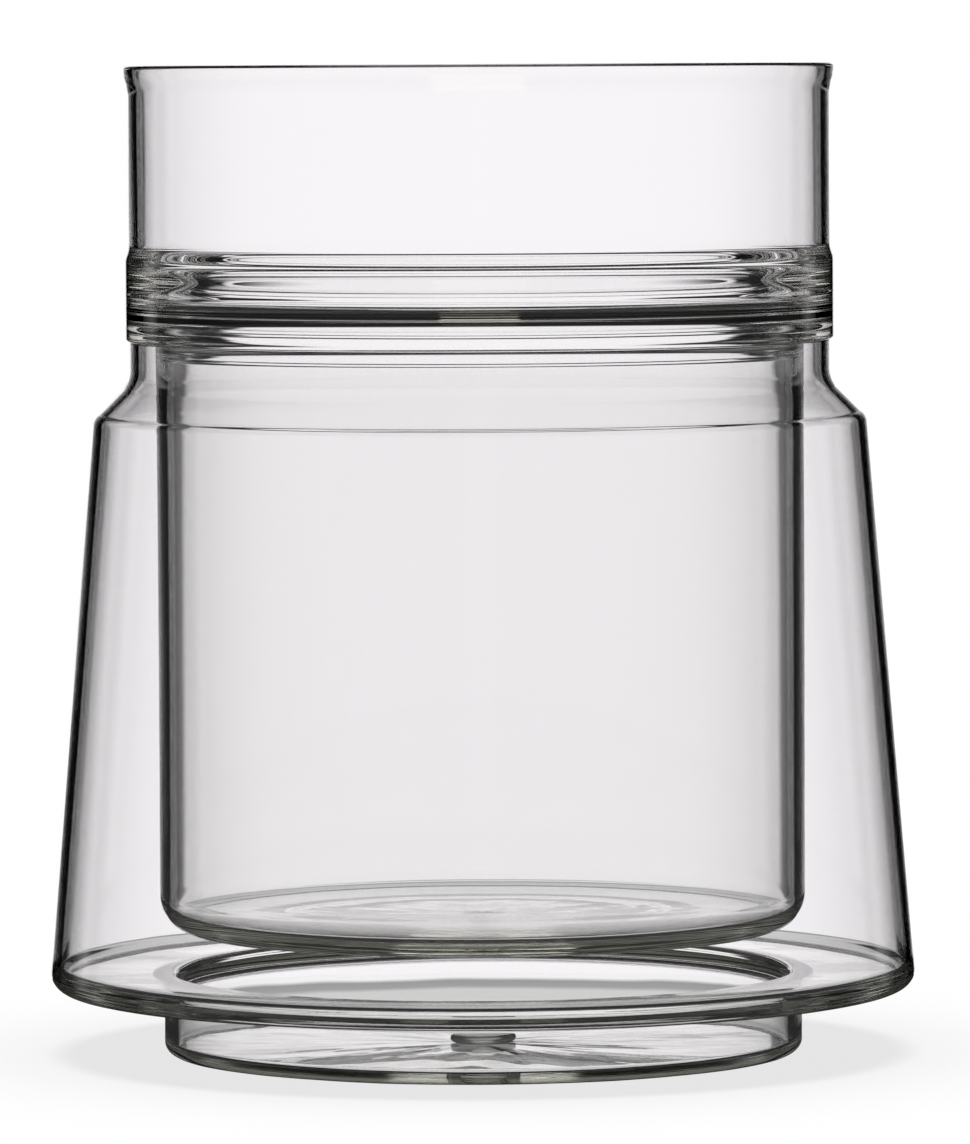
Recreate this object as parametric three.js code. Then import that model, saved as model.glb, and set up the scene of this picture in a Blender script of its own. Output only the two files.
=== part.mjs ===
// A double-walled coffee glass, blown from clear heat-proof glass.
// The inner cup carries the drinking rim and a thick collar. The outer shell hangs under the collar and
// ends in a stepped foot, a bead of melted glass joins the two, and a small plug closes the shell's vent.
// Millimetres, +Z up. The origin is the middle of the foot's underside, and +Z is the glass's axis.
import * as THREE from "three";

// Heights
const overallHeight = 98.9; // table to the top of the rim
const sleeveHeight = 18.0; // top of the rim down to the collar
const collarHeight = 9.5; // the thick ring where the two walls meet
const collarFlare = 1.6; // the part of the collar over which the sleeve widens
const narrowingDrop = 1.5; // top of the collar down to where the sleeve starts to narrow inside
const ledgeDrop = 6.1; // top of the collar down to the rounded ring that stands in the cup
const weldHeight = 0.7; // bead of melted glass under the collar
const neckHeight = 2.2; // straight neck under the bead
const rimFlareHeight = 2.6; // the part of the sleeve that turns out to the rim
const footHeight = 6.45; // table to the underside of the base
const airUnderCup = 2.4; // sealed air between the base and the lowest point of the cup

// Widths
const neckDiameter = 70.0; // outside of the neck, which the other widths follow
const sleeveOversize = 0.1; // how much wider the drinking sleeve is than the neck
const collarOversize = 0.8; // how much wider the collar is than the neck
const shoulderStep = 3.75; // how far the shell steps out from the neck, on each side
const wallSpread = 4.6; // how far the shell widens from shoulder to base, on each side
const stackClearance = 2.15; // gap round the foot when it stands in the mouth of another glass
const ventDiameter = 5.0; // hole through the foot's floor

// Glass thickness and the gap between the walls
const sleeveWall = 0.9;
const tubeWall = 1.1;
const cupFloorThickness = 3.05; // in the middle
const shellWall = 0.9;
const baseThickness = 1.85;
const footWall = 1.45;
const footFloorThickness = 1.15;
const airAtNeck = 1.7; // sealed air between the neck and the cup's tube

// Rounded edges
const rimFlare = 0.45; // how far the fire-polished rim turns out past the sleeve
const weldBulge = 0.06; // how far the melted bead stands out past the neck
const collarEdgeRadius = 0.35;
const collarNarrowing = 0.84; // how much the sleeve narrows inside, on each side, down to the ledge
const ledgeFillet = 1.35; // hollow corner between the narrowed sleeve and the ring
const ringInwards = 1.4; // how far the ring stands in past the tube's inside
const ringFillet = 2.6; // hollow corner between the ring and the tube under it
const cupUndersideRadius = 303.0; // gentle curve of the cup's underside, lowest in the middle
const cupCornerRadius = 4.35; // outside corner of the cup's floor
const cupInnerCornerRadius = 2.4;
const neckFillet = 2.5; // hollow curve from the neck into the shoulder
const shoulderInnerRadius = 1.0; // inside of the round curve from the shoulder into the wall
const shoulderSlope = THREE.MathUtils.degToRad(45);
const baseCornerRadius = 1.8;
const baseInnerCornerRadius = 1.0;
const footFillet = 1.2; // hollow corner between the base and the foot
const footCornerRadius = 1.25;
const footInnerEdgeRadius = 2.0; // where the base turns down into the foot
const footInnerCornerRadius = 0.45; // hollow corner round the foot's floor

// Vent plug
const plugClearance = 0.1; // gap between the plug and the wall of the vent
const plugRecess = 0.3; // how far the plug stops short of the table
const plugFlangeOverhang = 0.8; // how far the flange reaches past the vent
const plugFlangeThickness = 0.8;

// How finely round shapes are divided
const turnSegments = 64; // steps round the axis
const arcStep = THREE.MathUtils.degToRad(22.5); // largest step along a rounded edge
const undersideSteps = 4; // steps along the cup's underside, from the middle to its corner

const smallestStep = 0.001; // points of an outline closer than this are one point

const quarterTurn = Math.PI / 2;
const halfTurn = Math.PI;

// Radii and heights that follow from the sizes above
const neckRadius = neckDiameter / 2;
const neckInnerRadius = neckRadius - shellWall;
const sleeveRadius = neckRadius + sleeveOversize / 2;
const sleeveInnerRadius = sleeveRadius - sleeveWall;
const collarRadius = neckRadius + collarOversize / 2;
const tubeRadius = neckInnerRadius - airAtNeck;
const tubeInnerRadius = tubeRadius - tubeWall;
const narrowRadius = sleeveInnerRadius - collarNarrowing; // inside of the collar above the ring
const ringTipRadius = tubeInnerRadius - ringInwards;
const ringRadius = narrowRadius - ledgeFillet - ringTipRadius; // rounded edge of the ring
const shoulderOuterRadius = shoulderInnerRadius + shellWall; // outside of the shoulder's round curve
const wallTopRadius = neckRadius + shoulderStep;
const baseRadius = wallTopRadius + wallSpread;
const footRadius = sleeveInnerRadius - stackClearance;
const footWallRadius = footRadius - footWall; // inside of the foot
const ventRadius = ventDiameter / 2;

const collarTop = overallHeight - sleeveHeight;
const collarBottom = collarTop - collarHeight;
const narrowingTop = collarTop - narrowingDrop;
const ledgeTop = collarTop - ledgeDrop;
const neckTop = collarBottom - weldHeight;
const neckBottom = neckTop - neckHeight;
const baseTop = footHeight + baseThickness;
const cupUnderside = baseTop + airUnderCup;
const cupFloor = cupUnderside + cupFloorThickness;

// A corner: the middle of a rounded edge in the half section, as distance from the axis and height.
function corner(radius, height) {
  return new THREE.Vector2(radius, height);
}

// Adds one point to an outline, unless it repeats the point before it.
function addPoint(outline, radius, height) {
  const point = new THREE.Vector2(radius, height);
  const last = outline.at(-1);
  if (!last || last.distanceTo(point) > smallestStep) {
    outline.push(point);
  }
}

// Adds points to an outline along an arc about a corner, from one angle to another.
// Angles are measured from straight outwards, and grow towards straight up.
function addArc(outline, middle, radius, fromAngle, toAngle, leastSteps = 1) {
  const steps = Math.max(leastSteps, Math.ceil(Math.abs(toAngle - fromAngle) / arcStep - smallestStep));
  for (let step = 0; step <= steps; step += 1) {
    const angle = fromAngle + ((toAngle - fromAngle) * step) / steps;
    addPoint(outline, middle.x + radius * Math.cos(angle), middle.y + radius * Math.sin(angle));
  }
}

// Turns half a section about the axis into a named piece. The outline runs out along the underside,
// up the outside, and back down the inside.
function turned(name, outline, material) {
  const geometry = new THREE.LatheGeometry(outline, turnSegments);
  geometry.rotateX(quarterTurn); // the lathe turns about Y, and this part stands along Z
  const mesh = new THREE.Mesh(geometry, material);
  mesh.name = name;
  return mesh;
}

function clearGlass() {
  return new THREE.MeshStandardMaterial({
    color: 0xe4e8e4,
    roughness: 0.02,
    metalness: 0.0,
    transparent: true,
    opacity: 0.35,
  });
}

// Inner cup: floor, tube, collar, sleeve and rim in one piece of glass.
function innerCup() {
  const outline = [];
  // The underside's gentle curve and the corner's tighter one touch where both point the same way.
  const underside = corner(0, cupUnderside + cupUndersideRadius);
  const cornerOut = tubeRadius - cupCornerRadius;
  const cornerReach = cupUndersideRadius - cupCornerRadius;
  const cornerTurn = Math.asin(cornerOut / cornerReach);
  const floorCorner = corner(cornerOut, underside.y - cornerReach * Math.cos(cornerTurn));
  addArc(outline, underside, cupUndersideRadius, -quarterTurn, cornerTurn - quarterTurn, undersideSteps);
  addArc(outline, floorCorner, cupCornerRadius, cornerTurn - quarterTurn, 0);
  addPoint(outline, tubeRadius, collarBottom);
  const collarEdge = corner(collarRadius - collarEdgeRadius, collarBottom + collarEdgeRadius);
  addArc(outline, collarEdge, collarEdgeRadius, -quarterTurn, 0);
  addPoint(outline, collarRadius, collarTop - collarFlare);
  addPoint(outline, sleeveRadius, collarTop);

  // The sleeve turns out to a rim that is round from wall to wall.
  const rimRadius = sleeveWall / 2;
  const rim = corner(sleeveRadius + rimFlare - rimRadius, overallHeight - rimRadius);
  addPoint(outline, sleeveRadius, rim.y - rimFlareHeight);
  addArc(outline, rim, rimRadius, 0, halfTurn);
  addPoint(outline, sleeveInnerRadius, rim.y - rimFlareHeight);

  // Inside the collar the sleeve narrows to a hollow corner, and a rounded ring stands in below it.
  addPoint(outline, sleeveInnerRadius, narrowingTop);
  const ledgeCorner = corner(narrowRadius - ledgeFillet, ledgeTop + ledgeFillet);
  addArc(outline, ledgeCorner, ledgeFillet, 0, -quarterTurn);
  const ringMiddle = corner(ringTipRadius + ringRadius, ledgeTop - ringRadius);
  const ringReach = ringRadius + ringFillet;
  const ringMeeting = Math.acos(1 - ringInwards / ringReach); // where the ring flows into the tube
  addArc(outline, ringMiddle, ringRadius, quarterTurn, halfTurn);
  addArc(outline, ringMiddle, ringRadius, halfTurn, halfTurn + ringMeeting);
  const ringHollow = corner(tubeInnerRadius - ringFillet, ringMiddle.y - ringReach * Math.sin(ringMeeting));
  addArc(outline, ringHollow, ringFillet, ringMeeting, 0);
  const insideCorner = corner(tubeInnerRadius - cupInnerCornerRadius, cupFloor + cupInnerCornerRadius);
  addArc(outline, insideCorner, cupInnerCornerRadius, 0, -quarterTurn);
  addPoint(outline, 0, cupFloor);
  return turned("inner_cup", outline, clearGlass());
}

// Outer shell: foot, base, sloping wall, shoulder and neck in one piece of glass, open at the vent.
function outerShell() {
  // The neck's hollow curve and the shoulder's round curve share one slope between them.
  const neckCurve = corner(neckRadius + neckFillet, neckBottom);
  const shoulderOut = wallTopRadius - shoulderOuterRadius;
  const slopeRun = (neckCurve.x - shoulderOut) * Math.cos(shoulderSlope);
  const shoulderDrop = (neckFillet + shoulderOuterRadius - slopeRun) / Math.sin(shoulderSlope);
  const shoulderCurve = corner(shoulderOut, neckBottom - shoulderDrop);

  // The sloping wall is the straight line that just touches the shoulder's curve and the base's corner.
  const baseCorner = corner(baseRadius - baseCornerRadius, footHeight + baseCornerRadius);
  const reach = baseCorner.clone().sub(shoulderCurve);
  const lineTurn = Math.acos((shoulderOuterRadius - baseCornerRadius) / reach.length());
  const wallTilt = lineTurn - Math.atan2(-reach.y, reach.x);

  // Inside the base, the same line moved in by the wall sets the corner's distance from the axis.
  const wallLine = baseCorner.x * Math.cos(wallTilt) + baseCorner.y * Math.sin(wallTilt) + baseCornerRadius;
  const innerCornerHeight = baseTop + baseInnerCornerRadius;
  const innerCornerLine = wallLine - shellWall - baseInnerCornerRadius;
  const innerCornerOut = (innerCornerLine - innerCornerHeight * Math.sin(wallTilt)) / Math.cos(wallTilt);
  const innerCorner = corner(innerCornerOut, innerCornerHeight);

  const outline = [];
  addPoint(outline, ventRadius, 0);
  const footCorner = corner(footRadius - footCornerRadius, footCornerRadius);
  addArc(outline, footCorner, footCornerRadius, -quarterTurn, 0);
  const footHollow = corner(footRadius + footFillet, footHeight - footFillet);
  addArc(outline, footHollow, footFillet, halfTurn, quarterTurn);
  addArc(outline, baseCorner, baseCornerRadius, -quarterTurn, 0);
  addArc(outline, baseCorner, baseCornerRadius, 0, wallTilt);
  addArc(outline, shoulderCurve, shoulderOuterRadius, wallTilt, shoulderSlope);
  addArc(outline, neckCurve, neckFillet, halfTurn + shoulderSlope, halfTurn);
  addPoint(outline, neckRadius, neckTop);
  addPoint(outline, neckInnerRadius, neckTop);

  addArc(outline, neckCurve, neckFillet + shellWall, halfTurn, halfTurn + shoulderSlope);
  addArc(outline, shoulderCurve, shoulderInnerRadius, shoulderSlope, wallTilt);
  addArc(outline, innerCorner, baseInnerCornerRadius, wallTilt, -quarterTurn);
  const footEdge = corner(footWallRadius + footInnerEdgeRadius, baseTop - footInnerEdgeRadius);
  addArc(outline, footEdge, footInnerEdgeRadius, quarterTurn, halfTurn);
  const footInside = corner(footWallRadius - footInnerCornerRadius, footFloorThickness + footInnerCornerRadius);
  addArc(outline, footInside, footInnerCornerRadius, 0, -quarterTurn);
  addPoint(outline, ventRadius, footFloorThickness);
  addPoint(outline, ventRadius, 0);
  return turned("outer_shell", outline, clearGlass());
}

// Weld bead: the ring of melted glass that joins the neck to the collar, bulging a little outwards.
function weldBead() {
  const outline = [];
  addPoint(outline, neckInnerRadius, neckTop);
  addPoint(outline, neckRadius, neckTop);
  addPoint(outline, neckRadius + weldBulge, neckTop + weldHeight / 4);
  addPoint(outline, neckRadius + weldBulge, collarBottom - weldHeight / 4);
  addPoint(outline, neckRadius, collarBottom);
  addPoint(outline, neckInnerRadius, collarBottom);
  addPoint(outline, neckInnerRadius, neckTop);
  return turned("weld_bead", outline, clearGlass());
}

// Vent plug: a soft stopper in the foot's floor, held by a flange on its inner end.
function ventPlug() {
  const plugRadius = ventRadius - plugClearance;
  const flangeRadius = ventRadius + plugFlangeOverhang;
  const edgeRadius = plugFlangeThickness / 2;
  const outline = [];
  addPoint(outline, 0, plugRecess);
  addPoint(outline, plugRadius, plugRecess);
  addPoint(outline, plugRadius, footFloorThickness);
  const flangeEdge = corner(flangeRadius - edgeRadius, footFloorThickness + edgeRadius);
  addArc(outline, flangeEdge, edgeRadius, -quarterTurn, quarterTurn);
  addPoint(outline, 0, footFloorThickness + plugFlangeThickness);
  const silicone = new THREE.MeshStandardMaterial({
    color: 0xc9cbc8,
    roughness: 0.5,
    metalness: 0.0,
  });
  return turned("vent_plug", outline, silicone);
}

const glass = new THREE.Group();
glass.name = "double_walled_coffee_glass";
glass.add(innerCup());
glass.add(outerShell());
glass.add(weldBead());
glass.add(ventPlug());

export default glass;
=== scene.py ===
"""Builds the looks of a double-walled coffee glass round its solid model, with a studio to see it in."""

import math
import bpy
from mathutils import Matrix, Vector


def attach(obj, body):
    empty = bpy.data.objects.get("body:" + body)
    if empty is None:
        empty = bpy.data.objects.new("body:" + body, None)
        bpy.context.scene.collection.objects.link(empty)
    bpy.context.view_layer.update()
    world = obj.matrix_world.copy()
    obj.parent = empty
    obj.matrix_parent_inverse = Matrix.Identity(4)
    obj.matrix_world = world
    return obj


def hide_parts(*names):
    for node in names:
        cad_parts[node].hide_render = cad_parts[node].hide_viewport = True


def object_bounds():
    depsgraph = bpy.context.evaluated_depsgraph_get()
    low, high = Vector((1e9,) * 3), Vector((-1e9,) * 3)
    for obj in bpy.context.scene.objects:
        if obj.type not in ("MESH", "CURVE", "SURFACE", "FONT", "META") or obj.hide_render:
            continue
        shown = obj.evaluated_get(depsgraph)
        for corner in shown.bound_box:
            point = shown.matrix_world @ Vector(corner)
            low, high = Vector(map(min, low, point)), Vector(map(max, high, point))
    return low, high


bl_info = {
    "name": "Double-Walled Coffee Glass",
    "version": (1, 0, 0),
    "blender": (4, 5, 0),
    "location": "3D View > Sidebar > Coffee Glass",
    "description": "Blown glass cup hung in an outer glass shell with a stepped foot",
    "category": "Add Mesh",
}

import bpy
import numpy as np
from bpy.props import FloatProperty, FloatVectorProperty, IntProperty, PointerProperty
from bpy.types import Operator, Panel, PropertyGroup
from mathutils import Matrix, Vector

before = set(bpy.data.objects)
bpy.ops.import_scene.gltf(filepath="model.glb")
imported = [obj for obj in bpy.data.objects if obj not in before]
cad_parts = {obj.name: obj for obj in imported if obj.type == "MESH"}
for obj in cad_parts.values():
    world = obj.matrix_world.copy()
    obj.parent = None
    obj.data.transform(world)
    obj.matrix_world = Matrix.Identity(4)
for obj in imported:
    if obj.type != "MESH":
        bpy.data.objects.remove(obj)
cad_low, cad_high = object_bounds()

MILLIMETRE = 0.001
QUARTER = math.pi / 2
HALF = math.pi
SENSOR_WIDTH = 36.0

# Distance from a bend to the extra point beside it
GUARD = 0.00006
# Radius of the smallest rounded edges, round the vent and the plug
SOFT_EDGE = 0.0002
# Heights between which the deeper waves of the cup's floor, the base and the foot die out
CUP_WAVE_HEIGHTS = (0.013, 0.018)
BASE_WAVE_HEIGHTS = (0.0105, 0.016)
FOOT_WAVE_HEIGHTS = (0.0045, 0.0062)
# Length along an outline that counts as one in the phases of the waves
WAVE_STRIDE = 0.01
PLUG_TURN_STEPS = 96
FLOOR_TURN_STEPS = 96
# How far the floor lies under the glass, so that no two surfaces share a place
FLOOR_DROP = 0.00005
LAMP_SIZE = 0.6
LAMP_HEIGHT = 0.8

# Angle from the middle of the backdrop in degrees, and how bright the room is there
ROOM_WALLS = (
    (0.0, 1.06),
    (9.8, 1.06),
    (10.4, 0.75),
    (11.1, 0.12),
    (12.0, 0.0),
    (38.0, 0.0),
    (43.0, 0.23),
    (47.0, 0.45),
    (52.0, 0.06),
    (62.0, 0.12),
    (80.0, 0.1),
    (95.0, 0.2),
    (180.0, 0.2),
)
ROOM_COLOUR = (1.0, 0.973, 1.0)
# Distance from the middle as a share of the floor's radius, and how much plain white the camera sees there
FLOOR_GLOW = ((0.0, 0.78), (0.6, 0.78), (0.95, 1.0))
# The same distance, and how bright the floor is for light straight through the glass: a painted shadow
FLOOR_PAINTED_SHADOW_THROUGH_GLASS = (
    (0.0, 0.75),
    (0.36, 0.75),
    (0.42, 0.45),
    (0.46, 0.45),
    (0.56, 0.7),
    (0.75, 0.7),
    (0.8, 0.4),
    (0.88, 0.36),
    (0.93, 1.0),
)
# How bright the floor is for mirrored light: painted shade, near black
FLOOR_PAINTED_DARK_MIRRORED = 0.02
# Colour of the patch low in front of the glass
FRONT_COLOUR = (0.55, 0.52, 0.44)
# Least brightness for light that was mirrored many times, and the counts between which it comes in
GUIDED_COLOUR = (0.2, 0.2, 0.2)
GUIDED_COUNTS = (6.5, 8.5)


def length(name, millimetres, description):
    """A property that holds a length, given in millimetres and kept in metres."""
    return FloatProperty(
        name=name,
        description=description,
        default=millimetres * MILLIMETRE,
        min=0.0,
        precision=5,
        subtype="DISTANCE",
        unit="LENGTH",
    )


def angle(name, degrees, description):
    """A property that holds an angle, given in degrees and kept in radians."""
    return FloatProperty(
        name=name,
        description=description,
        default=math.radians(degrees),
        subtype="ANGLE",
        unit="ROTATION",
    )


class GlassSizes(PropertyGroup):
    """Sizes of the glass, nearly all of them the same as in the solid model."""

    overall_height: length("Overall height", cad_high.z * 1000, "Table to the top of the rim")
    sleeve_height: length("Sleeve height", 18.0, "Top of the rim down to the collar")
    collar_height: length("Collar height", 9.5, "Height of the thick ring where the walls meet")
    collar_flare: length("Collar flare", 1.6, "Height over which the sleeve widens into the collar")
    narrowing_drop: length("Narrowing drop", 1.5, "Top of the collar to where the sleeve starts to narrow")
    ledge_drop: length("Ledge drop", 6.1, "Top of the collar down to the ring that stands in the cup")
    weld_height: length("Weld height", 0.7, "Height of the melted bead under the collar")
    neck_height: length("Neck height", 2.2, "Straight neck under the bead")
    rim_flare_height: length("Rim flare height", 2.6, "Height over which the sleeve turns out to the rim")
    foot_height: length("Foot height", 6.45, "Table to the underside of the base")
    air_under_cup: length("Air under the cup", 2.54, "Sealed air from the base to the cup's lowest point")

    neck_diameter: length("Neck diameter", 70.0, "Outside of the neck")
    sleeve_oversize: length("Sleeve oversize", 0.1, "How much wider the sleeve is than the neck")
    collar_oversize: length("Collar oversize", 0.8, "How much wider the collar is than the neck")
    shoulder_step: length("Shoulder step", 3.75, "How far the shell steps out from the neck")
    wall_spread: length("Wall spread", 4.6, "How far the shell widens from shoulder to base")
    stack_clearance: length("Stacking clearance", 2.15, "Gap round the foot in another glass's mouth")
    vent_diameter: length("Vent diameter", 5.0, "Hole through the foot's floor")

    sleeve_wall: length("Sleeve wall", 0.9, "Glass thickness of the drinking sleeve")
    tube_wall: length("Tube wall", 1.1, "Glass thickness of the inner tube")
    cup_floor: length("Cup floor", 3.15, "Glass thickness in the middle of the cup's floor")
    shell_wall: length("Shell wall", 0.9, "Glass thickness of the outer shell")
    base_thickness: length("Base thickness", 1.85, "Glass thickness of the shell's base")
    foot_wall: length("Foot wall", 1.45, "Glass thickness of the foot's wall")
    foot_floor: length("Foot floor", 1.15, "Glass thickness of the foot's floor")
    air_at_neck: length("Air at the neck", 1.7, "Sealed air between the neck and the tube")

    rim_flare: length("Rim flare", 0.45, "How far the rim turns out past the sleeve")
    collar_edge: length("Collar edge", 0.35, "Radius of the collar's lower edge")
    collar_narrowing: length("Collar narrowing", 0.84, "How much the sleeve narrows inside, to the ledge")
    ledge_fillet: length("Ledge fillet", 1.35, "Radius of the hollow corner above the ledge")
    ring_inwards: length("Ring inwards", 1.4, "How far the ring stands in past the tube's inside")
    crotch: length("Crotch radius", 0.06, "Radius at the top of the sealed air, beside the tube")
    weld_edge: length("Weld edge", 0.12, "Radius of the bead's upper edges")
    ring_fillet: length("Ring fillet", 2.6, "Radius of the hollow corner under the ring")
    cup_underside: length("Cup underside", 297.0, "Radius of the gentle curve under the cup")
    cup_corner: length("Cup corner", 3.85, "Outside radius round the cup's floor")
    cup_inner_corner: length("Cup inner corner", 1.8, "Inside radius round the cup's floor")
    neck_fillet: length("Neck fillet", 2.5, "Radius of the hollow curve under the neck")
    shoulder_inner: length("Shoulder inner radius", 1.0, "Inside radius of the shoulder")
    base_corner: length("Base corner", 1.8, "Radius of the rounded edge round the base")
    base_inner_corner: length("Base inner corner", 1.0, "Inside radius round the base")
    foot_fillet: length("Foot fillet", 1.2, "Radius of the hollow corner between base and foot")
    foot_corner: length("Foot corner", 1.25, "Radius of the edge the glass stands on")
    foot_inner_edge: length("Foot inner edge", 1.0, "Radius of the base's edge, down into the foot")
    foot_inner_corner: length("Foot inner corner", 0.45, "Radius of the hollow corner at the foot's floor")

    plug_clearance: length("Plug clearance", 0.1, "Gap between the plug and the vent's wall")
    plug_recess: length("Plug recess", 0.3, "How far the plug stops short of the table")
    plug_overhang: length("Plug overhang", 0.8, "How far the plug's flange reaches past the vent")
    plug_flange: length("Plug flange", 0.8, "Thickness of the plug's flange")

    hairline: length("Hairline", 0.02, "Gap left at the seam, so that no two surfaces share a place")
    wall_wave: length("Wall wave", 0.012, "How much the blown walls vary in thickness")
    base_wave: length("Base wave", 0.03, "How much the base and the cup's floor vary in thickness")
    foot_wave: length("Foot wave", 0.08, "How much the foot varies in thickness")
    turn_steps: IntProperty(
        name="Turn steps", description="Steps round the axis", default=256, min=24, max=360
    )


class GlassFinish(PropertyGroup):
    """Colours and optics of the glass and the plug."""

    refraction: FloatProperty(
        name="Refraction", description="Index of refraction of the glass", default=1.47, min=1.3, max=1.7
    )
    tint: FloatVectorProperty(
        name="Tint",
        description="Colour that is left after light has gone a long way through the glass",
        default=(0.66, 0.69, 0.48),
        min=0.0,
        max=1.0,
        size=3,
        subtype="COLOR",
    )
    tint_depth: FloatProperty(
        name="Tint depth", description="How strongly the glass tints, for each metre", default=10.0, min=0.0
    )
    plug_colour: FloatVectorProperty(
        name="Plug colour",
        description="Milky colour of the silicone plug",
        default=(0.9, 0.91, 0.88),
        min=0.0,
        max=1.0,
        size=3,
        subtype="COLOR",
    )


class GlassStage(PropertyGroup):
    """The studio round the glass."""

    camera_distance: length("Camera distance", 880.0, "Glass's axis to the camera")
    camera_height: length("Camera height", 98.9, "Table to the camera, level with the rim")
    aim_height: length("Aim height", 48.1, "Height on the glass that the camera aims at")
    aim_right: length("Aim right", 0.4, "How far right of the axis the camera aims")
    camera_roll: angle("Camera roll", 0.31, "Small lean of the camera")
    focal_length: FloatProperty(
        name="Focal length",
        description="Focal length of the lens on a 36 mm wide sensor",
        default=276.9,
        subtype="DISTANCE_CAMERA",
        unit="CAMERA",
    )
    floor_radius: length("Floor radius", 80.0, "Radius of the pale floor")
    panel_half_width: angle("Panel half width", 10.4, "Half the angle of each side or corner panel")
    panel_softness: angle("Panel softness", 0.6, "Angle over which a panel's edge fades, to each side")
    panel_top: angle("Panel top", 20.0, "Angle above the table at which the walls and panels end")
    panel_bottom: angle("Panel bottom", -15.4, "Angle above the table of the walls' lower edge")
    panel_fade: angle("Panel fade", 1.5, "Angle over which an upper or lower edge fades, up and down")
    corner_top: angle("Corner panel top", -9.0, "Angle above the table at which the corner panels end")
    front_half_width: angle("Front half width", 16.0, "Half the angle that the warm patch in front covers")
    front_top: angle("Front top", -18.0, "Angle above the table at which the warm patch ends")
    gap_light: FloatProperty(
        name="Gap light", description="Brightness of the dark parts of the room", default=0.01, min=0.0
    )
    lamp_power: FloatProperty(
        name="Lamp power", description="Power of the soft lamp overhead", default=7.0, min=0.0, unit="POWER"
    )


# Outlines of the glass, as arrays of distance from the axis and height


def arc(middle, radius, start, end, count=25):
    """Points on a circle about the middle, at even angles from start to end. Angles grow from straight
    outwards towards straight up."""
    angles = np.linspace(start, end, count)
    outwards = middle[0] + radius * np.cos(angles)
    upwards = middle[1] + radius * np.sin(angles)
    return np.column_stack((outwards, upwards))


def line(start, end, count=2):
    """Points at even steps on the straight line from start to end."""
    steps = np.linspace(0.0, 1.0, count)[:, None]
    return (1.0 - steps) * np.asarray(start) + steps * np.asarray(end)


def without_repeats(points):
    """The points of an outline, less those that repeat the one before."""
    steps = np.linalg.norm(np.diff(points, axis=0), axis=1)
    keep = np.concatenate(([True], steps > 1e-7))
    return points[keep]


def outline(*stretches):
    """Joins stretches of points into one outline. Each long straight gets one more point close to an end
    where the outline turns, so that its shading stays true up to there."""
    points = without_repeats(np.concatenate(stretches))
    runs = np.diff(points, axis=0)
    spans = np.linalg.norm(runs, axis=1)
    ways = runs / spans[:, None]
    bends = np.concatenate(([True], (ways[1:] * ways[:-1]).sum(axis=1) < 0.99999, [True]))
    share = np.where(spans > 6 * GUARD, GUARD / spans, 0.0)
    after = points[:-1] + (share * bends[:-1])[:, None] * runs
    before = points[1:] - (share * bends[1:])[:, None] * runs
    woven = np.stack((points[:-1], after, before), axis=1).reshape(-1, 2)
    return without_repeats(np.concatenate((woven, points[-1:])))


class Levels:
    """Radii and heights that follow from the sizes."""

    def __init__(self, size):
        self.neck = size.neck_diameter / 2
        self.neck_inside = self.neck - size.shell_wall
        self.sleeve = self.neck + size.sleeve_oversize / 2
        self.sleeve_inside = self.sleeve - size.sleeve_wall
        self.collar = self.neck + size.collar_oversize / 2
        self.tube = self.neck_inside - size.air_at_neck
        self.tube_inside = self.tube - size.tube_wall
        self.shoulder = size.shoulder_inner + size.shell_wall
        self.wall_top = self.neck + size.shoulder_step
        self.base = self.wall_top + size.wall_spread
        self.foot = self.sleeve_inside - size.stack_clearance
        self.foot_inside = self.foot - size.foot_wall
        self.vent = size.vent_diameter / 2

        self.collar_top = size.overall_height - size.sleeve_height
        self.collar_bottom = self.collar_top - size.collar_height
        self.narrowing_top = self.collar_top - size.narrowing_drop
        self.ledge_top = self.collar_top - size.ledge_drop
        self.neck_top = self.collar_bottom - size.weld_height
        self.neck_bottom = self.neck_top - size.neck_height
        self.base_top = size.foot_height + size.base_thickness
        self.cup_underside = self.base_top + size.air_under_cup
        self.cup_floor = self.cup_underside + size.cup_floor


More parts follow.
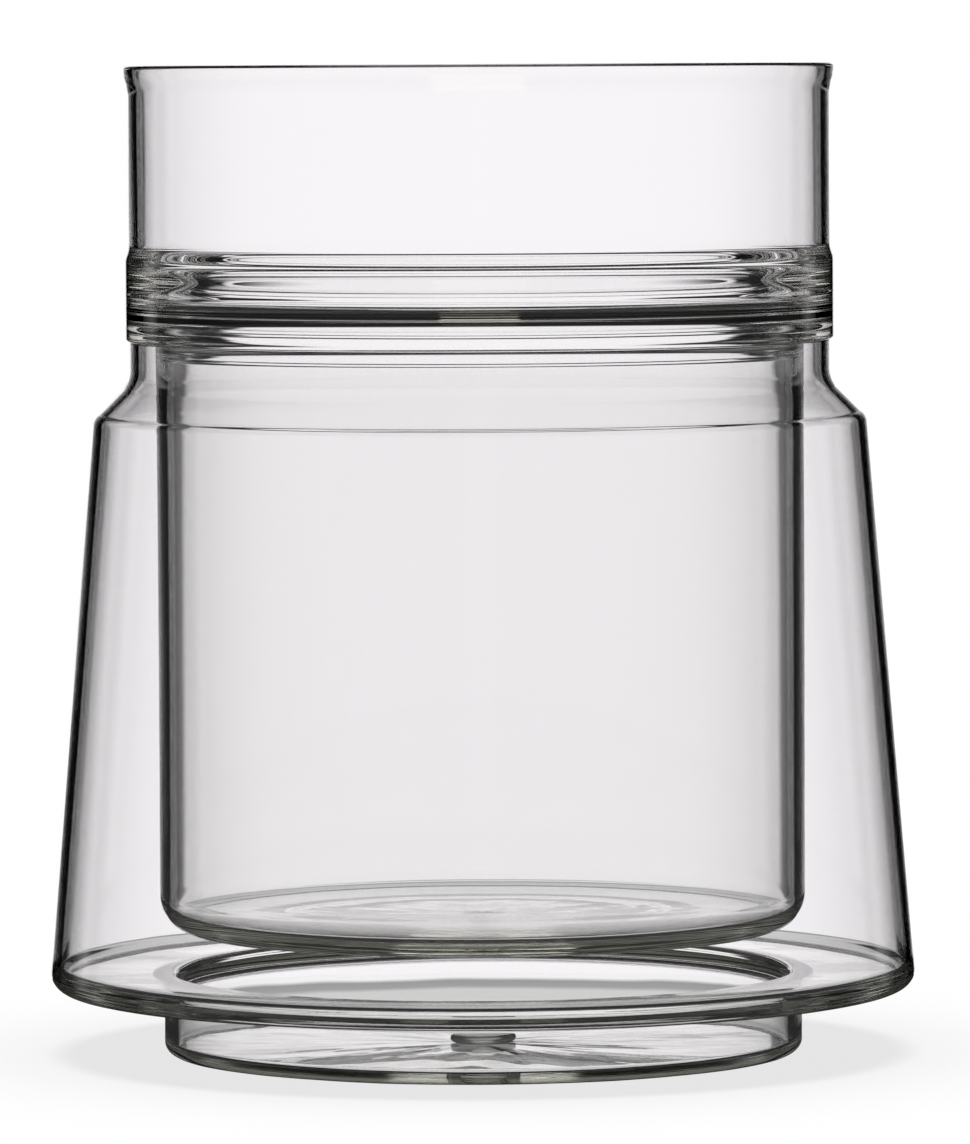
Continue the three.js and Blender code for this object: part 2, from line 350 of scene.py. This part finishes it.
def inner_cup_outline(size, at):
    """Half section of the inner cup: out along its floor, up the tube, round the collar, up the sleeve,
    over the rim, and down the inside over the rounded ring to the floor."""
    under_middle = (0.0, at.cup_underside + size.cup_underside)
    corner_reach = size.cup_underside - size.cup_corner
    corner_turn = math.asin((at.tube - size.cup_corner) / corner_reach)
    cup_corner = (at.tube - size.cup_corner, under_middle[1] - corner_reach * math.cos(corner_turn))
    rim = size.sleeve_wall / 2
    rim_middle = (at.sleeve + size.rim_flare - rim, size.overall_height - rim)
    flare_bottom = at.collar_top - size.collar_flare
    flare_steps = np.linspace(0.0, 1.0, 25)
    flare_swing = (1.0 - np.cos(flare_steps * HALF)) / 2
    flare = np.column_stack(
        (at.collar + (at.sleeve - at.collar) * flare_swing, flare_bottom + size.collar_flare * flare_steps)
    )
    rim_rise = rim_middle[1] - size.rim_flare_height * (1.0 - flare_steps)
    rim_outside = np.column_stack((at.sleeve + size.rim_flare * flare_swing, rim_rise))
    rim_inside = np.column_stack((at.sleeve_inside + size.rim_flare * flare_swing, rim_rise))[::-1]
    narrow = at.sleeve_inside - size.collar_narrowing
    taper = np.column_stack(
        (
            at.sleeve_inside - size.collar_narrowing * flare_swing,
            at.narrowing_top + (at.ledge_top + size.ledge_fillet - at.narrowing_top) * flare_steps,
        )
    )
    ring_radius = narrow - size.ledge_fillet - (at.tube_inside - size.ring_inwards)
    ring = (narrow - size.ledge_fillet, at.ledge_top - ring_radius)
    meeting = math.acos(1.0 - size.ring_inwards / (ring_radius + size.ring_fillet))
    under_drop = (ring_radius + size.ring_fillet) * math.sin(meeting)
    under = (at.tube_inside - size.ring_fillet, ring[1] - under_drop)
    return outline(
        arc(under_middle, size.cup_underside, -QUARTER, corner_turn - QUARTER, 17),
        arc(cup_corner, size.cup_corner, corner_turn - QUARTER, 0.0, 33),
        line((at.tube, cup_corner[1]), (at.tube, at.collar_bottom - size.crotch), 8),
        arc((at.tube + size.crotch, at.collar_bottom - size.crotch), size.crotch, HALF, QUARTER, 9),
        arc(
            (at.collar - size.collar_edge, at.collar_bottom + size.collar_edge),
            size.collar_edge,
            -QUARTER,
            0.0,
            17,
        ),
        flare,
        line((at.sleeve, at.collar_top), (at.sleeve, rim_rise[0]), 5),
        rim_outside,
        arc(rim_middle, rim, 0.0, HALF, 33),
        rim_inside,
        line((at.sleeve_inside, rim_rise[0]), (at.sleeve_inside, at.narrowing_top), 5),
        taper,
        arc(
            (narrow - size.ledge_fillet, at.ledge_top + size.ledge_fillet),
            size.ledge_fillet,
            0.0,
            -QUARTER,
            17,
        ),
        arc(ring, ring_radius, QUARTER, HALF + meeting, 41),
        arc(under, size.ring_fillet, meeting, 0.0, 17),
        line((at.tube_inside, under[1]), (at.tube_inside, at.cup_floor + size.cup_inner_corner), 8),
        arc(
            (at.tube_inside - size.cup_inner_corner, at.cup_floor + size.cup_inner_corner),
            size.cup_inner_corner,
            0.0,
            -QUARTER,
            33,
        ),
        line((at.tube_inside - size.cup_inner_corner, at.cup_floor), (0.0, at.cup_floor), 12),
    )


def outer_shell_outline(size, at):
    """Half section of the outer shell with the weld bead melted onto its neck. The wall is the straight
    line that just touches the shoulder's curve and the base's corner."""
    neck_curve = np.array((at.neck + size.neck_fillet, at.neck_bottom))
    shoulder_out = at.wall_top - at.shoulder
    slope = math.radians(45)
    slope_run = (neck_curve[0] - shoulder_out) * math.cos(slope)
    drop = (size.neck_fillet + at.shoulder - slope_run) / math.sin(slope)
    shoulder_curve = np.array((shoulder_out, at.neck_bottom - drop))
    base_corner = np.array((at.base - size.base_corner, size.foot_height + size.base_corner))
    reach = base_corner - shoulder_curve
    turn = math.acos((at.shoulder - size.base_corner) / np.linalg.norm(reach))
    tilt = turn - math.atan2(-reach[1], reach[0])
    wall_normal = np.array((math.cos(tilt), math.sin(tilt)))
    inner_line = base_corner @ wall_normal + size.base_corner - size.shell_wall - size.base_inner_corner
    inner_up = at.base_top + size.base_inner_corner
    inner_corner = ((inner_line - inner_up * math.sin(tilt)) / math.cos(tilt), inner_up)

    foot_fillet = (at.foot + size.foot_fillet, size.foot_height - size.foot_fillet)
    foot_edge = (at.foot_inside + size.foot_inner_edge, at.base_top - size.foot_inner_edge)
    foot_hollow = (at.foot_inside - size.foot_inner_corner, size.foot_floor + size.foot_inner_corner)

    weld = size.weld_edge
    weld_top = at.collar_bottom - size.hairline
    return outline(
        line((at.vent + SOFT_EDGE, 0.0), (at.foot - size.foot_corner, 0.0), 16),
        arc((at.foot - size.foot_corner, size.foot_corner), size.foot_corner, -QUARTER, 0.0, 25),
        arc(foot_fillet, size.foot_fillet, HALF, QUARTER, 17),
        line((at.foot + size.foot_fillet, size.foot_height), (base_corner[0], size.foot_height), 8),
        arc(base_corner, size.base_corner, -QUARTER, tilt, 29),
        line(base_corner + size.base_corner * wall_normal, shoulder_curve + at.shoulder * wall_normal, 10),
        arc(shoulder_curve, at.shoulder, tilt, slope, 21),
        arc(neck_curve, size.neck_fillet, HALF + slope, HALF, 21),
        arc((at.neck - weld, weld_top - weld), weld, 0.0, QUARTER, 9),
        arc((at.neck_inside + weld, weld_top - weld), weld, QUARTER, HALF, 9),
        arc(neck_curve, size.neck_fillet + size.shell_wall, HALF, HALF + slope, 21),
        arc(shoulder_curve, size.shoulder_inner, slope, tilt, 17),
        arc(inner_corner, size.base_inner_corner, tilt, -QUARTER, 21),
        line((inner_corner[0], at.base_top), (at.foot_inside + size.foot_inner_edge, at.base_top), 8),
        arc(foot_edge, size.foot_inner_edge, QUARTER, HALF, 17),
        arc(foot_hollow, size.foot_inner_corner, 0.0, -QUARTER, 21),
        line((foot_hollow[0], size.foot_floor), (at.vent + SOFT_EDGE, size.foot_floor), 16),
        arc((at.vent + SOFT_EDGE, size.foot_floor - SOFT_EDGE), SOFT_EDGE, QUARTER, HALF, 7),
        arc((at.vent + SOFT_EDGE, SOFT_EDGE), SOFT_EDGE, HALF, 3 * QUARTER, 7),
    )


def vent_plug_outline(size, at):
    """Half section of the plug: a short stem with a rounded flange on its inner end."""
    stem = at.vent - size.plug_clearance
    flange = at.vent + size.plug_overhang
    edge = size.plug_flange / 2
    seat = size.foot_floor + size.hairline
    return outline(
        line((0.0, size.plug_recess), (stem - SOFT_EDGE, size.plug_recess), 6),
        arc((stem - SOFT_EDGE, size.plug_recess + SOFT_EDGE), SOFT_EDGE, -QUARTER, 0.0, 9),
        arc((stem + SOFT_EDGE, seat - SOFT_EDGE), SOFT_EDGE, HALF, QUARTER, 9),
        arc((flange - edge, seat + edge), edge, -QUARTER, QUARTER, 17),
        line((flange - edge, seat + size.plug_flange), (0.0, seat + size.plug_flange), 6),
    )


def outline_normals(points, closed):
    """Unit normals of an outline, out of the glass: the run of the outline turned a quarter clockwise."""
    if closed:
        run = np.roll(points, -1, axis=0) - np.roll(points, 1, axis=0)
    else:
        run = np.gradient(points, axis=0)
    run = run / np.linalg.norm(run, axis=1, keepdims=True)
    return np.column_stack((run[:, 1], -run[:, 0]))


def blown_waves(points, angles, depth, seed):
    """How far the glass lies inside its true surface, on a grid of angles by outline points: a sum of
    sines of the angle, with phases that wander along the outline, scaled to run from 0 to the depth."""
    walk = np.concatenate(([0.0], np.cumsum(np.linalg.norm(np.diff(points, axis=0), axis=1))))
    turns = angles[:, None]
    along = walk[None, :] / WAVE_STRIDE
    wave = (
        0.38 * np.sin(2 * turns + 0.9 * along + seed)
        + 0.25 * np.sin(5 * turns - 1.7 * along + 2.1 * seed)
        + 0.18 * np.sin(9 * turns + 2.3 * along + 3.7 * seed)
        + 0.13 * np.sin(16 * turns - 3.1 * along + 5.3 * seed)
        + 0.06 * np.sin(41 * turns + 4.7 * along + 7.9 * seed)
    )
    return depth[None, :] * (wave + 1.0) / 2


def turned_mesh(name, points, steps, depth=None, seed=0.0):
    """Turns an outline about the axis into a closed mesh. Point (i, j) is outline point j carried round
    by the angle of step i, less the blown waves along its normal. Ends on the axis become one pole each,
    and an outline that ends off the axis closes on itself."""
    open_ends = points[0, 0] < 1e-7
    angles = np.linspace(0.0, 2 * math.pi, steps, endpoint=False)
    radius = np.repeat(points[None, :, 0], steps, axis=0)
    height = np.repeat(points[None, :, 1], steps, axis=0)
    if depth is not None:
        normals = outline_normals(points, not open_ends)
        waves = blown_waves(points, angles, depth, seed)
        radius = radius - waves * normals[None, :, 0]
        height = height - waves * normals[None, :, 1]
    turned = np.stack(
        (radius * np.cos(angles)[:, None], radius * np.sin(angles)[:, None], height), axis=-1
    )
    columns = np.arange(steps)
    following = np.roll(columns, -1)
    if open_ends:
        body = turned[:, 1:-1]
    else:
        body = turned
    rows = body.shape[1]
    row = np.arange(rows - 1 if open_ends else rows)
    above = (row + 1) % rows
    quads = np.stack(
        (
            columns[:, None] * rows + row[None, :],
            following[:, None] * rows + row[None, :],
            following[:, None] * rows + above[None, :],
            columns[:, None] * rows + above[None, :],
        ),
        axis=-1,
    ).reshape(-1, 4)
    places = body.reshape(-1, 3)
    faces = quads.tolist()
    if open_ends:
        first = np.array(((0.0, 0.0, height[:, 0].mean()),))
        last = np.array(((0.0, 0.0, height[:, -1].mean()),))
        first_pole = len(places)
        last_pole = first_pole + 1
        places = np.concatenate((places, first, last))
        under = np.column_stack((np.full(steps, first_pole), following * rows, columns * rows))
        end = rows - 1
        over = np.column_stack((np.full(steps, last_pole), columns * rows + end, following * rows + end))
        faces += under.tolist() + over.tolist()
    mesh = bpy.data.meshes.new(name)
    mesh.from_pydata(places.tolist(), [], faces)
    mesh.validate()
    mesh.polygons.foreach_set("use_smooth", np.ones(len(mesh.polygons), dtype=bool))
    mesh.update()
    piece = bpy.data.objects.new(name, mesh)
    bpy.context.scene.collection.objects.link(piece)
    return piece


def blend_by_height(points, low, high):
    """1 at and below the low height, 0 at and above the high one, with a smooth run between."""
    share = np.clip((high - points[:, 1]) / (high - low), 0.0, 1.0)
    return share * share * (3.0 - 2.0 * share)


# Materials


def add_node(tree, kind, place, **values):
    """Adds a node at a place in the tree and sets its plain attributes."""
    node = tree.nodes.new(kind)
    node.location = place
    for name, value in values.items():
        setattr(node, name, value)
    return node


def glass_material(name, finish, polish_scale):
    """Clear blown glass: refracting all through, with a faint tint by depth and slightly uneven polish."""
    material = bpy.data.materials.new(name)
    material.use_nodes = True
    tree = material.node_tree
    tree.nodes.clear()
    output = add_node(tree, "ShaderNodeOutputMaterial", (600, 0))
    shader = add_node(tree, "ShaderNodeBsdfPrincipled", (250, 0))
    shader.inputs["Base Color"].default_value = (1.0, 1.0, 1.0, 1.0)
    shader.inputs["Transmission Weight"].default_value = 1.0
    shader.inputs["IOR"].default_value = finish.refraction
    place = add_node(tree, "ShaderNodeTexCoord", (-750, 0))
    polish = add_node(tree, "ShaderNodeTexNoise", (-500, 0))
    polish.inputs["Scale"].default_value = polish_scale
    polish.inputs["Detail"].default_value = 3.0
    span = add_node(tree, "ShaderNodeMapRange", (-200, 0))
    span.inputs["From Min"].default_value = 0.35
    span.inputs["From Max"].default_value = 0.75
    span.inputs["To Min"].default_value = 0.0
    span.inputs["To Max"].default_value = 0.012
    depth = add_node(tree, "ShaderNodeVolumeAbsorption", (250, -350))
    depth.inputs["Color"].default_value = (*finish.tint, 1.0)
    depth.inputs["Density"].default_value = finish.tint_depth
    tree.links.new(place.outputs["Object"], polish.inputs["Vector"])
    tree.links.new(polish.outputs["Fac"], span.inputs["Value"])
    tree.links.new(span.outputs["Result"], shader.inputs["Roughness"])
    tree.links.new(shader.outputs["BSDF"], output.inputs["Surface"])
    tree.links.new(depth.outputs["Volume"], output.inputs["Volume"])
    return material


def silicone_material(name, finish):
    """Milky silicone: soft and cloudy, so that light comes through it, with a faint speckle."""
    material = bpy.data.materials.new(name)
    material.use_nodes = True
    tree = material.node_tree
    tree.nodes.clear()
    output = add_node(tree, "ShaderNodeOutputMaterial", (600, 0))
    shader = add_node(tree, "ShaderNodeBsdfPrincipled", (250, 0))
    shader.inputs["Roughness"].default_value = 0.3
    shader.inputs["Transmission Weight"].default_value = 0.9
    shader.inputs["IOR"].default_value = 1.41
    place = add_node(tree, "ShaderNodeTexCoord", (-750, 0))
    speckle = add_node(tree, "ShaderNodeTexNoise", (-500, 0))
    speckle.inputs["Scale"].default_value = 1800.0
    shades = add_node(tree, "ShaderNodeValToRGB", (-250, 0))
    shades.color_ramp.elements[0].color = (*(0.92 * c for c in finish.plug_colour), 1.0)
    shades.color_ramp.elements[1].color = (*finish.plug_colour, 1.0)
    tree.links.new(place.outputs["Object"], speckle.inputs["Vector"])
    tree.links.new(speckle.outputs["Fac"], shades.inputs["Fac"])
    tree.links.new(shades.outputs["Color"], shader.inputs["Base Color"])
    tree.links.new(shader.outputs["BSDF"], output.inputs["Surface"])
    return material


class COFFEEGLASS_OT_inner_cup(Operator):
    """Blow the inner cup: floor, tube, collar, drinking sleeve and rim"""

    bl_idname = "coffeeglass.inner_cup"
    bl_label = "Inner Cup"

    def execute(self, context):
        sizes = context.scene.coffee_glass_sizes
        finish = context.scene.coffee_glass_finish
        points = inner_cup_outline(sizes, Levels(sizes))
        depth = np.full(len(points), sizes.wall_wave)
        depth += (sizes.base_wave - sizes.wall_wave) * blend_by_height(points, *CUP_WAVE_HEIGHTS)
        piece = turned_mesh("inner_cup_glass", points, sizes.turn_steps, depth, seed=0.6)
        piece.data.materials.append(glass_material("Cup glass", finish, polish_scale=90.0))
        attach(piece, "root")
        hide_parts("inner_cup")
        return {"FINISHED"}


class COFFEEGLASS_OT_outer_shell(Operator):
    """Blow the outer shell with its stepped foot, and melt the weld bead onto its neck"""

    bl_idname = "coffeeglass.outer_shell"
    bl_label = "Outer Shell"

    def execute(self, context):
        sizes = context.scene.coffee_glass_sizes
        finish = context.scene.coffee_glass_finish
        points = outer_shell_outline(sizes, Levels(sizes))
        depth = np.full(len(points), sizes.wall_wave)
        depth += (sizes.base_wave - sizes.wall_wave) * blend_by_height(points, *BASE_WAVE_HEIGHTS)
        depth += (sizes.foot_wave - sizes.base_wave) * blend_by_height(points, *FOOT_WAVE_HEIGHTS)
        piece = turned_mesh("outer_shell_glass", points, sizes.turn_steps, depth, seed=2.4)
        piece.data.materials.append(glass_material("Outer wall glass", finish, polish_scale=70.0))
        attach(piece, "root")
        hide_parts("outer_shell", "weld_bead")
        return {"FINISHED"}


class COFFEEGLASS_OT_vent_plug(Operator):
    """Press the silicone plug into the vent in the foot's floor"""

    bl_idname = "coffeeglass.vent_plug"
    bl_label = "Vent Plug"

    def execute(self, context):
        sizes = context.scene.coffee_glass_sizes
        finish = context.scene.coffee_glass_finish
        points = vent_plug_outline(sizes, Levels(sizes))
        piece = turned_mesh("vent_plug_silicone", points, PLUG_TURN_STEPS)
        piece.data.materials.append(silicone_material("Milky silicone", finish))
        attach(piece, "root")
        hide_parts("vent_plug")
        return {"FINISHED"}


def floor_material(radius):
    """A pale table that turns into plain white towards its edge. The camera sees it bright, with the faint
    shadow that the lamp throws. Light straight through the glass finds a painted shadow: grey under the
    glass and in the half-shadow round it and white further out. Mirrored light finds it painted dark."""
    material = bpy.data.materials.new("Pale floor")
    material.use_nodes = True
    tree = material.node_tree
    tree.nodes.clear()
    output = add_node(tree, "ShaderNodeOutputMaterial", (1000, 0))
    place = add_node(tree, "ShaderNodeTexCoord", (-900, 0))
    spread = add_node(tree, "ShaderNodeVectorMath", (-700, 0), operation="LENGTH")
    share = add_node(tree, "ShaderNodeMath", (-500, 0), operation="DIVIDE")
    share.inputs[1].default_value = radius
    tree.links.new(place.outputs["Object"], spread.inputs[0])
    tree.links.new(spread.outputs["Value"], share.inputs[0])

    def shades(steps, height):
        """A grey for each distance from the middle, given as shares of the floor's radius."""
        ramp = add_node(tree, "ShaderNodeValToRGB", (-300, height))
        stops = ramp.color_ramp.elements
        while len(stops) < len(steps):
            stops.new(1.0)
        for stop, (position, grey) in zip(stops, steps):
            stop.position = position
            stop.color = (grey, grey, grey, 1.0)
        tree.links.new(share.outputs[0], ramp.inputs["Fac"])
        return ramp.outputs["Color"]

    ray = add_node(tree, "ShaderNodeLightPath", (0, 400))
    matt = add_node(tree, "ShaderNodeBsdfDiffuse", (0, -300))
    matt.inputs["Color"].default_value = (0.95, 0.95, 0.95, 1.0)
    white = add_node(tree, "ShaderNodeEmission", (0, -450))
    table = add_node(tree, "ShaderNodeMixShader", (250, -300))
    # Emission that paints the glass's shadow on the floor, for light straight through the glass
    through = add_node(tree, "ShaderNodeEmission", (0, 100))
    mirrored = add_node(tree, "ShaderNodeMath", (250, 400), operation="MINIMUM")
    mirrored.inputs[1].default_value = 1.0
    # Emission that paints the floor near black as shade, for mirrored light
    dark = add_node(tree, "ShaderNodeEmission", (250, 0))
    dark.inputs["Strength"].default_value = FLOOR_PAINTED_DARK_MIRRORED
    in_glass = add_node(tree, "ShaderNodeMixShader", (500, 100))
    seen = add_node(tree, "ShaderNodeMixShader", (750, 0))
    tree.links.new(shades(FLOOR_GLOW, -300), table.inputs["Fac"])
    tree.links.new(matt.outputs["BSDF"], table.inputs[1])
    tree.links.new(white.outputs["Emission"], table.inputs[2])
    tree.links.new(shades(FLOOR_PAINTED_SHADOW_THROUGH_GLASS, 100), through.inputs["Color"])
    tree.links.new(ray.outputs["Glossy Depth"], mirrored.inputs[0])
    tree.links.new(mirrored.outputs[0], in_glass.inputs["Fac"])
    tree.links.new(through.outputs["Emission"], in_glass.inputs[1])
    tree.links.new(dark.outputs["Emission"], in_glass.inputs[2])
    tree.links.new(ray.outputs["Is Camera Ray"], seen.inputs["Fac"])
    tree.links.new(in_glass.outputs["Shader"], seen.inputs[1])
    tree.links.new(table.outputs["Shader"], seen.inputs[2])
    tree.links.new(seen.outputs["Shader"], output.inputs["Surface"])
    return material


def make_floor(radius):
    """A round floor just under the glass: a level disc, made as one fan of triangles."""
    steps = FLOOR_TURN_STEPS
    angles = np.linspace(0.0, 2 * math.pi, steps, endpoint=False)
    ring = np.column_stack((radius * np.cos(angles), radius * np.sin(angles), np.zeros(steps)))
    places = np.concatenate((np.zeros((1, 3)), ring))
    places[:, 2] = -FLOOR_DROP
    corner = np.arange(steps) + 1
    faces = np.column_stack((np.zeros(steps, dtype=int), corner, np.roll(corner, -1)))
    mesh = bpy.data.meshes.new("floor")
    mesh.from_pydata(places.tolist(), [], faces.tolist())
    mesh.materials.append(floor_material(radius))
    floor = bpy.data.objects.new("floor", mesh)
    bpy.context.scene.collection.objects.link(floor)


def make_studio(stage):
    """The room: a white backdrop between two dark cards, dim walls further round, and a warm patch low in
    front, so that the glass shows white through its walls and dark along its edges. Light that comes
    straight through the glass, with no mirroring, finds a white panel on the other sides too, for a camera
    that stands there. Light that the glass has led a long way inside comes from all over the room, so it
    is never quite dark. The camera itself sees plain white."""
    world = bpy.data.worlds.new("Studio")
    bpy.context.scene.world = world
    world.use_nodes = True
    tree = world.node_tree
    tree.nodes.clear()
    output = add_node(tree, "ShaderNodeOutputWorld", (1500, 0))
    background = add_node(tree, "ShaderNodeBackground", (1300, 0))
    place = add_node(tree, "ShaderNodeTexCoord", (-1300, 0))
    parts = add_node(tree, "ShaderNodeSeparateXYZ", (-1100, 0))
    bearing = add_node(tree, "ShaderNodeMath", (-900, 100), operation="ARCTAN2")
    ray = add_node(tree, "ShaderNodeLightPath", (-900, 900))
    tree.links.new(place.outputs["Generated"], parts.inputs[0])
    tree.links.new(parts.outputs["X"], bearing.inputs[0])
    tree.links.new(parts.outputs["Y"], bearing.inputs[1])

    def fade(value, start, end, place):
        """0 where the value is at the start or before it, 1 at the end or past it, smooth between."""
        step = add_node(tree, "ShaderNodeMapRange", place, interpolation_type="SMOOTHSTEP")
        step.inputs["From Min"].default_value = start
        step.inputs["From Max"].default_value = end
        tree.links.new(value, step.inputs["Value"])
        return step.outputs["Result"]

    def below(edge, softness, height):
        """1 well below the edge, an angle above the table, and 0 well above it."""
        start = math.sin(edge + softness)
        end = math.sin(edge - softness)
        return fade(parts.outputs["Z"], start, end, (-300, height))

    def panels(count, half_width, height):
        """Panels round the table, one of them straight in front if the count is 1, two at the sides if it
        is 2 and four at the corners if it is 4: 1 on a panel and 0 in the gaps."""
        turns = add_node(tree, "ShaderNodeMath", (-700, height), operation="MULTIPLY")
        swing = add_node(tree, "ShaderNodeMath", (-500, height), operation="COSINE")
        turns.inputs[1].default_value = count
        outer = math.cos(count * (half_width + stage.panel_softness))
        inner = math.cos(count * (half_width - stage.panel_softness))
        tree.links.new(bearing.outputs[0], turns.inputs[0])
        tree.links.new(turns.outputs[0], swing.inputs[0])
        return fade(swing.outputs[0], -outer, -inner, (-300, height))

    def room_walls():
        """Brightness of the room at the table's height, by the angle from the backdrop's middle."""
        side = add_node(tree, "ShaderNodeMath", (-700, 100), operation="ABSOLUTE")
        turn = add_node(tree, "ShaderNodeMath", (-500, 100), operation="DIVIDE")
        turn.inputs[1].default_value = math.pi
        ramp = add_node(tree, "ShaderNodeValToRGB", (-300, 100))
        stops = ramp.color_ramp.elements
        while len(stops) < len(ROOM_WALLS):
            stops.new(1.0)
        for stop, (degrees, brightness) in zip(stops, ROOM_WALLS):
            stop.position = degrees / 180.0
            stop.color = (*(brightness * part for part in ROOM_COLOUR), 1.0)
        tree.links.new(bearing.outputs[0], side.inputs[0])
        tree.links.new(side.outputs[0], turn.inputs[0])
        tree.links.new(turn.outputs[0], ramp.inputs["Fac"])
        return ramp.outputs["Color"]

    def both(first, second, place):
        """The product of two shares."""
        product = add_node(tree, "ShaderNodeMath", place, operation="MULTIPLY")
        tree.links.new(first, product.inputs[0])
        tree.links.new(second, product.inputs[1])
        return product.outputs[0]

    def blend(share, low, high, along, kind="MIX"):
        """Mixes two colours: the low one where the share is 0 and the high one where it is 1."""
        mix = add_node(tree, "ShaderNodeMix", (along, 0), data_type="RGBA", blend_type=kind)
        for socket, value in ((mix.inputs[0], share), (mix.inputs[6], low), (mix.inputs[7], high)):
            if isinstance(value, tuple):
                socket.default_value = value
            else:
                tree.links.new(value, socket)
        return mix.outputs[2]

    dark = (stage.gap_light, stage.gap_light, stage.gap_light, 1.0)
    white = (1.0, 1.0, 1.0, 1.0)
    straight = fade(ray.outputs["Glossy Depth"], 0.6, 0.4, (-300, 900))
    front = panels(1, stage.front_half_width, -300)
    front = both(front, below(stage.front_top, stage.panel_fade, -600), (0, -300))
    sides = both(panels(2, stage.panel_half_width, 700), straight, (0, 700))
    corners = both(panels(4, stage.panel_half_width, 500), straight, (-100, 500))
    corners = both(corners, below(stage.corner_top, stage.panel_fade, 300), (100, 500))

    room = blend(below(stage.panel_bottom, stage.panel_fade, -900), room_walls(), dark, 300)
    room = blend(front, room, (*FRONT_COLOUR, 1.0), 500)
    room = blend(corners, room, white, 700)
    room = blend(sides, room, white, 800)
    room = blend(below(stage.panel_top, stage.panel_fade, -1200), dark, room, 900)
    guided = fade(ray.outputs["Glossy Depth"], *GUIDED_COUNTS, (-300, 1150))
    room = blend(guided, room, (*GUIDED_COLOUR, 1.0), 1000, "LIGHTEN")
    seen = blend(ray.outputs["Is Camera Ray"], room, white, 1100)
    tree.links.new(seen, background.inputs["Color"])
    tree.links.new(background.outputs["Background"], output.inputs["Surface"])


def make_lamp(power):
    """A large soft lamp above the glass, which the glass itself doesn't mirror."""
    light = bpy.data.lights.new("Overhead softbox", "AREA")
    light.shape = "DISK"
    light.size = LAMP_SIZE
    light.energy = power
    lamp = bpy.data.objects.new("Overhead softbox", light)
    lamp.location = (0.0, 0.0, LAMP_HEIGHT)
    lamp.visible_glossy = False
    lamp.visible_transmission = False
    bpy.context.scene.collection.objects.link(lamp)


def make_camera(stage):
    """A long lens level with the rim, aimed at the middle of the glass."""
    data = bpy.data.cameras.new("Camera")
    data.lens = stage.focal_length
    data.sensor_width = SENSOR_WIDTH
    camera = bpy.data.objects.new("Camera", data)
    camera.location = (stage.aim_right, -stage.camera_distance, stage.camera_height)
    aim = Vector((stage.aim_right, 0.0, stage.aim_height)) - camera.location
    turn = aim.to_track_quat("-Z", "Y").to_matrix().to_4x4()
    lean = Matrix.Rotation(-stage.camera_roll, 4, "Z")
    camera.rotation_euler = (turn @ lean).to_euler()
    bpy.context.scene.collection.objects.link(camera)
    bpy.context.scene.camera = camera


class COFFEEGLASS_OT_stage(Operator):
    """Set up the floor, the studio, the lamp and the camera"""

    bl_idname = "coffeeglass.stage"
    bl_label = "Studio"

    def execute(self, context):
        scene = context.scene
        stage = scene.coffee_glass_stage
        make_floor(stage.floor_radius)
        make_studio(stage)
        make_lamp(stage.lamp_power)
        make_camera(stage)
        scene.view_settings.view_transform = "Standard"
        scene.cycles.max_bounces = 40
        scene.cycles.transmission_bounces = 24
        scene.cycles.glossy_bounces = 24
        return {"FINISHED"}


class COFFEEGLASS_PT_panel(Panel):
    """Lists the pieces of the glass and the studio"""

    bl_label = "Coffee Glass"
    bl_idname = "COFFEEGLASS_PT_panel"
    bl_space_type = "VIEW_3D"
    bl_region_type = "UI"
    bl_category = "Coffee Glass"

    def draw(self, context):
        for operator in OPERATORS:
            self.layout.operator(operator.bl_idname)
        for group in ("coffee_glass_sizes", "coffee_glass_finish", "coffee_glass_stage"):
            values = getattr(context.scene, group)
            box = self.layout.box()
            for name in values.bl_rna.properties.keys():
                if name not in {"rna_type", "name"}:
                    box.prop(values, name)


GROUPS = (GlassSizes, GlassFinish, GlassStage)
OPERATORS = (
    COFFEEGLASS_OT_inner_cup,
    COFFEEGLASS_OT_outer_shell,
    COFFEEGLASS_OT_vent_plug,
    COFFEEGLASS_OT_stage,
)


def register():
    for kind in (*GROUPS, *OPERATORS, COFFEEGLASS_PT_panel):
        bpy.utils.register_class(kind)
    bpy.types.Scene.coffee_glass_sizes = PointerProperty(type=GlassSizes)
    bpy.types.Scene.coffee_glass_finish = PointerProperty(type=GlassFinish)
    bpy.types.Scene.coffee_glass_stage = PointerProperty(type=GlassStage)


def unregister():
    del bpy.types.Scene.coffee_glass_stage
    del bpy.types.Scene.coffee_glass_finish
    del bpy.types.Scene.coffee_glass_sizes
    for kind in reversed((*GROUPS, *OPERATORS, COFFEEGLASS_PT_panel)):
        bpy.utils.unregister_class(kind)


def main():
    register()
    bpy.ops.coffeeglass.inner_cup()
    bpy.ops.coffeeglass.outer_shell()
    bpy.ops.coffeeglass.vent_plug()
    bpy.ops.coffeeglass.stage()


if __name__ == "__main__":
    main()
